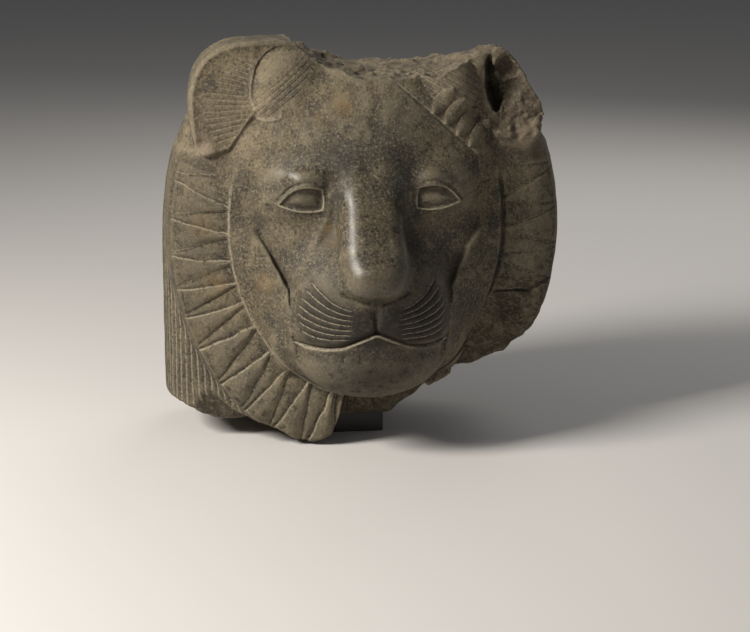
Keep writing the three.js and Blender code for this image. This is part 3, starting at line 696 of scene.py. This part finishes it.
def bends(piece, rounds):
    """How far each corner lies below its surroundings, in millimetres; below zero where it stands out."""
    a, b = edge_ends(piece)
    normal = np.zeros(len(piece.data.vertices) * 3, np.float32)
    piece.data.vertex_normals.foreach_get("vector", normal)
    start = positions(piece).astype(float)
    now = start
    for _ in range(rounds):
        now = 0.5 * now + 0.5 * around(now, a, b)
    return ((now - start) * normal.reshape(-1, 3)).sum(1)


CELL = 1.6
BLOCK = 4
ROOM_LOW, ROOM_HIGH = (-262, -175, -5), (268, 240, 525)
MOST_TRIANGLES = 195000
places, quads = surface_net(head, ROOM_LOW, ROOM_HIGH, CELL, BLOCK)
stone = mesh_object("stone_head", settle(head, places, CELL), quads)
thin_out(stone, MOST_TRIANGLES)
put_corners(stone, settle(head, positions(stone), CELL))


# Marks that the finish is drawn from

# Spots of rust-coloured stain, of darker stone and painted shade, and of paler stone and painted light:
# place, reach and strength
STAINS = [(-46, -70, 281, 12, 1.0), (-52, -62, 290, 8, 1.0), (-190, -11, 208, 16, 1.0),
          (74, -60, 298, 9, 1.0), (-127, -44, 220, 12, 1.0), (-200, -7, 287, 15, 1.0),
          (25, -101, 315, 10, 1.0), (-30, -40, 440, 16, 1.0), (90, -40, 300, 12, 1.0),
          (-60, -40, 420, 10, 1.0)]
# Darker spots: darker stone on the brows and the nose, painted shade on the muzzle's front and in the right
# ear's hollow, darker stone and painted shade on the chin
DARK_AND_SHADED_SPOTS = [(-33, -68, 370, 22, 0.9), (40, -68, 362, 26, 0.9), (10, -140, 240, 44, 0.6),
              (-4, -122, 118, 62, 1.1), (34, -112, 196, 46, 0.7), (4, -122, 184, 34, 0.7),
              (-50, -112, 196, 40, 0.7), (15, -105, 300, 34, 0.6), (186, -14, 456, 36, 0.55)]
# Paler spots: fresh stone at the left ear's chip and the right side's break, painted light on the hair of
# both ears
PALE_AND_LIT_SPOTS = [(-203, -5, 385, 15, 1.0), (205, 5, 400, 30, 0.8), (116, -22, 446, 34, 0.4),
              (-170, -14, 430, 50, 0.22)]


def spots_near(p, spots):
    found = np.zeros(len(p))
    for x, y, z, reach, strength in spots:
        far = np.linalg.norm(p - np.array((x, y, z)), axis=1)
        found = np.maximum(found, strength * bell(far, reach))
    return found


def whisker_number(x, z):
    """Which whisker line lies here, counted down from 0, with fractions between the lines."""
    x = np.abs(x)
    heights = [np.interp(x, line[::-1, 0], line[::-1, 1]) for line in WHISKERS]
    number = np.full(x.shape, -1.0)
    for k in range(len(WHISKERS) - 1):
        step = np.maximum(heights[k] - heights[k + 1], 1.0)
        number = np.where(z <= heights[k], k + (heights[k] - z) / step, number)
    first = np.maximum(heights[0] - heights[1], 1.0)
    return np.where(z > heights[0], (heights[0] - z) / first, number)


def finish_marks(p):
    """Distances and numbers that the stone's finish is drawn from, one value at each corner."""
    x, y, z = p.T
    side = np.abs(x)
    crag = break_crag(p)
    angle, reach, inner, _, share, _, _, past = lock_place(x, z)
    beyond_ruff = np.abs(angle) > RUFF_END_ANGLE
    in_ruff = ease(-0.02, 0.02, share) * ease(1.06, 1.0, share) * ease(40.0, 10.0, y) * ~beyond_ruff
    face_front = ease(-30.0, -50.0, y)
    top = along(TOP_BREAK, x) + 6.0 * crag
    torn_top = ease(-9.0, -2.0, z - top)
    torn_ear = ease(148.0, 172.0, x) * ease(372.0, 392.0, z)
    worn_ruff = ease(95.0, 125.0, x) * ease(226.0, 206.0, z) * ease(-50.0, -20.0, y) * (reach > inner + 2.0)
    torn_foot = ease(10.0, 3.0, z - underside(p, crag))
    number = whisker_number(x, z)
    pad = ease(96.0, 90.0, side) * ease(28.0, 36.0, side) * ease(240.0, 232.0, z) * ease(156.0, 162.0, z)
    pad = pad * face_front * ease(-0.5, -0.3, number) * ease(6.5, 6.3, number)
    line_end = 75.0 + 16.0 * np.sin(np.pi * np.clip(number, 0.0, 6.0) / 8.0)
    lined = pad * ease(line_end + 1.0, line_end - 2.0, side)
    snout = ease(line_end + 8.0, line_end - 8.0, side) * ease(-1.0, 0.4, number) * ease(152.0, 160.0, z)
    girth = np.interp(np.arctan2(y - WIG_Y, side), GIRTH_ANGLE, GIRTH_LENGTH)
    on_wig = ease(7.0, 2.0, np.abs(wig(p))) * ease(-6.0, 4.0, y) * ease(392.0, 380.0, z) * (1.0 - in_ruff)
    on_face = ease(150.0, 105.0, side) * ease(-20.0, -55.0, y) * ease(72.0, 100.0, z) * ease(450.0, 340.0, z)
    brow = bell(side - 74.0, 40.0) * bell(z - 356.0, 16.0)
    polish = on_face * np.clip(0.35 + ease(46.0, 38.0, side) * ease(205.0, 225.0, z) + brow, 0.0, 1.0)
    ear_number, ear_shown = ear_hair(-x, y, z, -1.0)
    right_number, right_shown = ear_hair(x, y, z, 1.0)
    at_ear_edge = (x < -104.0) & (y < 25.0) & (z > 412.0)
    ear_edge = np.where(at_ear_edge, ear_swelling(-x, y, z) - 4.0, 20.0)
    left = ease(20.0, -20.0, x)
    # Darker towards the far left of the head, below the ears
    darker_far_left = 0.45 * ease(-150.0, -225.0, x) * (z < 372.0)
    return {
        "whisker": number,
        "lined": lined,
        "snout": snout * face_front,
        "eye": np.clip(eye_gap(x, z), -20.0, 20.0) + 40.0 * (1.0 - face_front),
        "lip": np.clip(along(MOUTH, side) - z, -20.0, 20.0),
        "muzzle": face_front * ease(200.0, 190.0, z) * ease(100.0, 92.0, side),
        "lock": np.clip(past, -9.0, 9.0),
        "in_ruff": in_ruff * (0.45 + 0.55 * left),
        "border": np.clip(reach - inner, -12.0, 12.0) + 20.0 * beyond_ruff + 20.0 * (y > 30.0),
        "right": 1.0 - left,
        "strand": girth / STRAND,
        "on_wig": on_wig,
        "ear_line": np.where(x < 0, ear_number, right_number),
        "ear_hair": np.where(x < 0, ear_shown, right_shown),
        "ear_edge": np.clip(ear_edge, -20.0, 20.0),
        "hairline": gap(x, z, HAIR_LINE) + 20.0 * (y > 0.0),
        "crack": bell(gap(x, z, RIGHT_CRACK) + 0.6 * crag, 2.0) * ease(40.0, 20.0, y),
        "broken": np.max([torn_top, torn_ear, worn_ruff, torn_foot], axis=0),
        "torn_top": torn_top,
        "polish": polish,
        "stain": spots_near(p, STAINS),
        "dark": np.maximum(spots_near(p, DARK_AND_SHADED_SPOTS), darker_far_left),
        "fresh_and_lit": spots_near(p, PALE_AND_LIT_SPOTS),
    }


for name, values in finish_marks(positions(stone)).items():
    paint(stone, name, values)
paint(stone, "fine", np.clip(bends(stone, 5) / 0.6, -1, 1))
paint(stone, "wide", np.clip(bends(stone, 60) / 5.0, -1, 1))


# Materials

def feed(tree, socket, value):
    """Gives an input a number, a colour or another node's output."""
    if isinstance(value, bpy.types.NodeSocket):
        tree.links.new(value, socket)
    else:
        socket.default_value = value


def add(tree, kind, values=None, **settings):
    """A shader node; values are numbers, colours or sockets, keyed by input name or number."""
    node = tree.nodes.new(kind)
    for name, value in settings.items():
        setattr(node, name, value)
    for key, value in (values or {}).items():
        feed(tree, node.inputs[key], value)
    return node


def math_node(tree, operation, *values):
    return add(tree, "ShaderNodeMath", dict(enumerate(values)), operation=operation).outputs[0]


def ramp(tree, value, low, high):
    """0 at low, 1 at high, smoothly."""
    node = add(tree, "ShaderNodeMapRange", {"Value": value, "From Min": low, "From Max": high},
               interpolation_type="SMOOTHSTEP")
    return node.outputs["Result"]


def mix(tree, share, first, second, blend="MIX"):
    node = add(tree, "ShaderNodeMix", data_type="RGBA", blend_type=blend)
    for name, kind, value in (("Factor", "VALUE", share), ("A", "RGBA", first), ("B", "RGBA", second)):
        socket = next(s for s in node.inputs if s.name == name and s.type == kind)
        feed(tree, socket, value)
    return next(s for s in node.outputs if s.type == "RGBA")


def noise_node(tree, where, scale, detail, roughness):
    values = {"Vector": where, "Scale": scale, "Detail": detail, "Roughness": roughness}
    return add(tree, "ShaderNodeTexNoise", values).outputs[0]


def attribute(tree, name):
    return add(tree, "ShaderNodeAttribute", attribute_name=name).outputs["Fac"]


def new_material(name):
    material = bpy.data.materials.new(name)
    material.use_nodes = True
    tree = material.node_tree
    return material, tree, tree.nodes["Principled BSDF"]


def times(tree, *values):
    out = values[0]
    for value in values[1:]:
        out = math_node(tree, "MULTIPLY", out, value)
    return out


def stripe(tree, value, middle, width):
    """1 where a value is within a width of a middle, 0 away from it."""
    off = math_node(tree, "ABSOLUTE", math_node(tree, "SUBTRACT", value, middle))
    return ramp(tree, off, width, 0.35 * width)


def numbered(tree, value, width):
    """1 near each whole number, 0 between them."""
    off = math_node(tree, "ABSOLUTE", math_node(tree, "SUBTRACT", value, math_node(tree, "ROUND", value)))
    return ramp(tree, off, width, 0.35 * width)


def either(tree, *values):
    out = values[0]
    for value in values[1:]:
        out = math_node(tree, "MAXIMUM", out, value)
    return out


def stone_material():
    """Granodiorite: dark warm grey with lighter mottling, pale grains and dust in the cut lines, with
    painted shade in the hollows and on the muzzle, painted light on the ears and a painted highlight along
    the lower lip.
    """
    material, tree, shader = new_material("granodiorite")
    where = add(tree, "ShaderNodeTexCoord").outputs["Object"]
    layers = [layer.name for layer in stone.data.attributes if layer.data_type == "FLOAT"]
    mark = {name: attribute(tree, name) for name in layers}
    broad = noise_node(tree, where, 7.0, 6.0, 0.62)
    blotch = noise_node(tree, where, 30.0, 6.0, 0.70)
    speck = noise_node(tree, where, 290.0, 4.0, 0.7)
    dots = noise_node(tree, where, 640.0, 2.0, 0.6)
    wobble = math_node(tree, "SUBTRACT", noise_node(tree, where, 90.0, 3.0, 0.6), 0.5)
    colour = mix(tree, ramp(tree, broad, 0.36, 0.64), (0.058, 0.047, 0.030, 1), (0.110, 0.086, 0.049, 1))
    colour = mix(tree, times(tree, ramp(tree, blotch, 0.50, 0.64), 0.80), colour, (0.032, 0.028, 0.022, 1))
    colour = mix(tree, times(tree, ramp(tree, blotch, 0.47, 0.36), 0.60), colour, (0.165, 0.132, 0.078, 1))
    colour = mix(tree, times(tree, mark["polish"], 0.40), colour, (0.034, 0.031, 0.026, 1))
    colour = mix(tree, times(tree, ramp(tree, speck, 0.53, 0.64), 0.75), colour, (0.20, 0.168, 0.112, 1))
    colour = mix(tree, times(tree, ramp(tree, speck, 0.47, 0.36), 0.90), colour, (0.014, 0.013, 0.012, 1))
    colour = mix(tree, times(tree, ramp(tree, dots, 0.58, 0.70), 0.50), colour, (0.26, 0.22, 0.155, 1))
    eyeball = ramp(tree, mark["eye"], -0.5, -2.0)
    colour = mix(tree, times(tree, eyeball, 0.35), colour, (0.062, 0.047, 0.031, 1))
    rust = times(tree, mark["stain"], ramp(tree, blotch, 0.40, 0.58), 0.8)
    colour = mix(tree, rust, colour, (0.21, 0.138, 0.055, 1))
    earthy = times(tree, mark["broken"], ramp(tree, blotch, 0.38, 0.62), 0.7)
    colour = mix(tree, earthy, colour, (0.060, 0.044, 0.026, 1))
    colour = mix(tree, times(tree, mark["torn_top"], 0.5), colour, (0.16, 0.13, 0.088, 1))
    crumbs = ramp(tree, noise_node(tree, where, 150.0, 5.0, 0.7), 0.50, 0.62)
    rubble = times(tree, mark["broken"], crumbs, 0.45)
    colour = mix(tree, rubble, colour, (0.24, 0.195, 0.135, 1))
    # Paler at fresh breaks, with painted light on the ears
    colour = mix(tree, times(tree, mark["fresh_and_lit"], 0.6), colour, (0.30, 0.23, 0.165, 1))
    # Painted shade: darker in the broad hollows of the carving
    painted_hollow_shade = times(tree, ramp(tree, mark["wide"], 0.10, 0.9), 0.45)
    colour = mix(tree, painted_hollow_shade, colour, (0.030, 0.026, 0.021, 1))
    off_snout = math_node(tree, "SUBTRACT", 1.0, mark["snout"])
    raised = times(tree, ramp(tree, mark["fine"], -0.15, -0.9), off_snout, 0.40)
    colour = mix(tree, raised, colour, (0.20, 0.168, 0.112, 1))
    # Darker at the darker spots, partly darker stone and partly painted shade, and darker towards the far
    # left
    colour = mix(tree, times(tree, mark["dark"], 0.85), colour, (0.30, 0.29, 0.28, 1), "MULTIPLY")
    # Darker over the whisker pads and the muzzle's front: partly darker stone, partly painted shade
    colour = mix(tree, times(tree, mark["snout"], 0.9), colour, (0.30, 0.26, 0.20, 1), "MULTIPLY")
    whisker = math_node(tree, "ADD", mark["whisker"], times(tree, wobble, 0.3))
    lock = math_node(tree, "ADD", mark["lock"], times(tree, wobble, 3.0))
    border = math_node(tree, "ADD", mark["border"], times(tree, wobble, 2.0))
    left = math_node(tree, "SUBTRACT", 1.0, mark["right"])
    # Pale dust in the cut lines, and a painted highlight along the lower lip's edge under the mouth's line
    dust_and_lip_highlight = either(tree,
                   times(tree, numbered(tree, whisker, 0.12), mark["lined"], 0.75),
                   times(tree, stripe(tree, mark["eye"], 0.9, 1.3), 0.85),
                   # painted highlight on the lower lip's edge
                   times(tree, stripe(tree, mark["lip"], 2.2, 1.8), mark["muzzle"], 0.70),
                   times(tree, stripe(tree, lock, 0.0, 1.1), mark["in_ruff"], 0.60),
                   times(tree, stripe(tree, border, 0.0, 1.8), left, 0.5),
                   times(tree, stripe(tree, mark["hairline"], 0.0, 1.8), 0.6),
                   times(tree, numbered(tree, mark["ear_line"], 0.17), mark["ear_hair"], 0.35),
                   times(tree, stripe(tree, mark["ear_edge"], 0.0, 1.6), 0.6),
                   times(tree, numbered(tree, mark["strand"], 0.2), mark["on_wig"], 0.55))
    worn = ramp(tree, speck, 0.30, 0.52)
    colour = mix(tree, times(tree, dust_and_lip_highlight, worn), colour, (0.30, 0.26, 0.185, 1))
    split = either(tree, mark["crack"], times(tree, stripe(tree, border, 2.0, 3.0), mark["right"]))
    colour = mix(tree, times(tree, split, 0.85), colour, (0.010, 0.009, 0.008, 1))
    tree.links.new(colour, shader.inputs["Base Color"])
    rough = math_node(tree, "SUBTRACT", 0.80, times(tree, mark["polish"], 0.44))
    rough = math_node(tree, "ADD", rough, times(tree, ramp(tree, speck, 0.35, 0.65), 0.10))
    rough = math_node(tree, "ADD", rough, times(tree, dust_and_lip_highlight, 0.2))
    tree.links.new(rough, shader.inputs["Roughness"])
    shader.inputs["Specular IOR Level"].default_value = 0.42
    height = math_node(tree, "ADD", times(tree, speck, 0.50), times(tree, dots, 0.25))
    height = math_node(tree, "ADD", height, times(tree, blotch, 0.7))
    height = math_node(tree, "SUBTRACT", height, times(tree, dust_and_lip_highlight, 0.22))
    jagged = noise_node(tree, where, 110.0, 6.0, 0.7)
    height = math_node(tree, "ADD", height, times(tree, mark["broken"], jagged, 3.0))
    even = math_node(tree, "SUBTRACT", 0.75, times(tree, mark["polish"], 0.60))
    even = math_node(tree, "ADD", even, times(tree, eyeball, 0.3))
    bump = add(tree, "ShaderNodeBump", {"Height": height, "Strength": even, "Distance": 0.0022})
    tree.links.new(bump.outputs[0], shader.inputs["Normal"])
    return material


def post_material():
    material, _, shader = new_material("dark_paint")
    shader.inputs["Base Color"].default_value = (0.030, 0.027, 0.024, 1)
    shader.inputs["Roughness"].default_value = 0.5
    return material


stone.data.materials.append(stone_material())
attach(stone, "root")
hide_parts("lioness_head")


# Post

def post_piece():
    low, high = np.array(post_low), np.array(post_high)
    bpy.ops.mesh.primitive_cube_add(size=1.0)
    piece = bpy.context.object
    piece.name = "post"
    piece.data.transform(Matrix.Diagonal((*(high - low), 1.0)))
    piece.data.transform(Matrix.Translation(Vector((low + high) / 2)))
    edge = piece.modifiers.new("edge", "BEVEL")
    edge.width = 0.0012
    edge.segments = 3
    bpy.context.view_layer.update()
    rounded = bpy.data.meshes.new_from_object(piece.evaluated_get(bpy.context.evaluated_depsgraph_get()))
    piece.modifiers.clear()
    piece.data = rounded
    return piece


post = post_piece()
post.data.materials.append(post_material())
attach(post, "root")
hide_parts("mount_post")


# Stage

def floor_piece():
    mesh = bpy.data.meshes.new("floor")
    half = 20.0
    corners = [(-half, -half, 0), (half, -half, 0), (half, half, 0), (-half, half, 0)]
    mesh.from_pydata(corners, [], [(0, 1, 2, 3)])
    piece = bpy.data.objects.new("floor", mesh)
    bpy.context.scene.collection.objects.link(piece)
    material, _, shader = new_material("pale_floor")
    shader.inputs["Base Color"].default_value = (0.62, 0.60, 0.58, 1)
    shader.inputs["Roughness"].default_value = 0.8
    mesh.materials.append(material)
    return piece


floor_piece()


def lamp(name, spot, target, size, power, colour):
    light = bpy.data.lights.new(name, "AREA")
    light.size = size
    light.energy = power
    light.color = colour
    piece = bpy.data.objects.new(name, light)
    bpy.context.scene.collection.objects.link(piece)
    piece.location = spot
    piece.rotation_euler = (Vector(target) - Vector(spot)).to_track_quat("-Z", "Y").to_euler()


lamp("key", (-1.80, -0.88, 1.55), (0.0, 0.0, 0.27), 0.7, 90.0, (1.0, 0.955, 0.89))
lamp("fill", (1.9, -1.5, 1.0), (0.0, 0.0, 0.25), 1.6, 4.0, (0.93, 0.96, 1.0))
lamp("rear", (0.9, 1.8, 1.7), (0.0, 0.0, 0.25), 1.4, 13.0, (1.0, 0.98, 0.95))
lamp("side", (2.2, 1.2, 0.9), (0.0, 0.1, 0.25), 1.2, 5.0, (1.0, 0.98, 0.95))

world = bpy.data.worlds.new("studio")
world.use_nodes = True
backdrop = world.node_tree.nodes["Background"]
backdrop.inputs["Color"].default_value = (0.84, 0.87, 0.92, 1)
backdrop.inputs["Strength"].default_value = 0.09
bpy.context.scene.world = world
bpy.context.scene.view_settings.view_transform = "Standard"


# Camera at the photo's angle

TURN, LIFT, FAR = math.radians(-7.0), math.radians(14.0), 2.6
AIM = Vector((0.0134, 0.0, 0.163)) + Vector(SHIFT)
back = Vector((math.sin(TURN) * math.cos(LIFT), -math.cos(TURN) * math.cos(LIFT), math.sin(LIFT)))
lens = bpy.data.cameras.new("photo_view")
lens.sensor_width = 36.0
lens.lens = 98.34
camera = bpy.data.objects.new("photo_view", lens)
bpy.context.scene.collection.objects.link(camera)
camera.location = AIM + back * FAR
camera.rotation_euler = (math.pi / 2 - LIFT, 0.0, TURN)
bpy.context.scene.camera = camera
